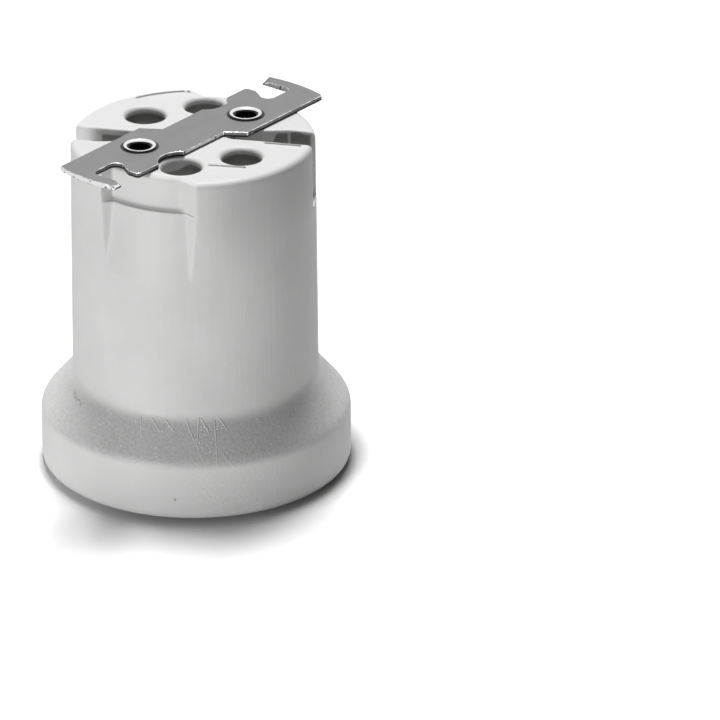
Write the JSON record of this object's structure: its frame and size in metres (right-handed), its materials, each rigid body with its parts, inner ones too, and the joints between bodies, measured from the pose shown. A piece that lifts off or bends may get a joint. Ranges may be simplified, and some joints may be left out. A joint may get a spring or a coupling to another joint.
{
  "type": "ceramic lamp holder",
  "caption": "Cylindrical white porcelain lamp holder with a wide skirt, a threaded metal shell and sprung contact inside, and a hooked steel fixing bracket riveted across its rear face.",
  "frame": {"origin": "centre of the mouth rim's plane, which the holder stands on", "axes": "+Z along the holder's axis from the mouth to the rear face, X along the fixing bracket"},
  "size_m": [0.072, 0.072, 0.0821],
  "materials": {
    "porcelain": "white glaze",
    "bracket_steel": "dull zinc plated",
    "nickel": "bright nickel plated",
    "brass": "plain brass",
    "screw_steel": "zinc plated",
    "spring_steel": "stainless"
  },
  "bodies": {
    "holder": {"porcelain_body": "porcelain", "fixing_bracket": "bracket_steel", "bracket_rivets": "nickel", "rivet_washers": "bracket_steel", "screw_shell": "nickel", "centre_strap": "brass", "shell_strap": "brass", "centre_terminal": "brass", "shell_terminal": "brass", "strap_screws": "screw_steel", "strap_washers": "screw_steel", "contact_spring": "spring_steel"},
    "centre_contact": {"contact_plunger": "nickel", "contact_clip": "screw_steel"},
    "centre_clamp_screw": {"centre_terminal_screw": "screw_steel"},
    "shell_clamp_screw": {"shell_terminal_screw": "screw_steel"}
  },
  "joints": [
    {"name": "contact_slide", "type": "slide", "parent": "holder", "child": "centre_contact", "axis": [0, 0, 1], "range_m": [0, 0.003], "stiffness_N_per_m": 2000, "springref_m": -0.004, "deforming": ["contact_spring"]},
    {"name": "centre_screw_travel", "type": "slide", "parent": "holder", "child": "centre_clamp_screw", "axis": [0, 0, 1], "range_m": [0, 0.0036]},
    {"name": "shell_screw_travel", "type": "slide", "parent": "holder", "child": "shell_clamp_screw", "axis": [0, 0, 1], "range_m": [0, 0.0036]}
  ]
}
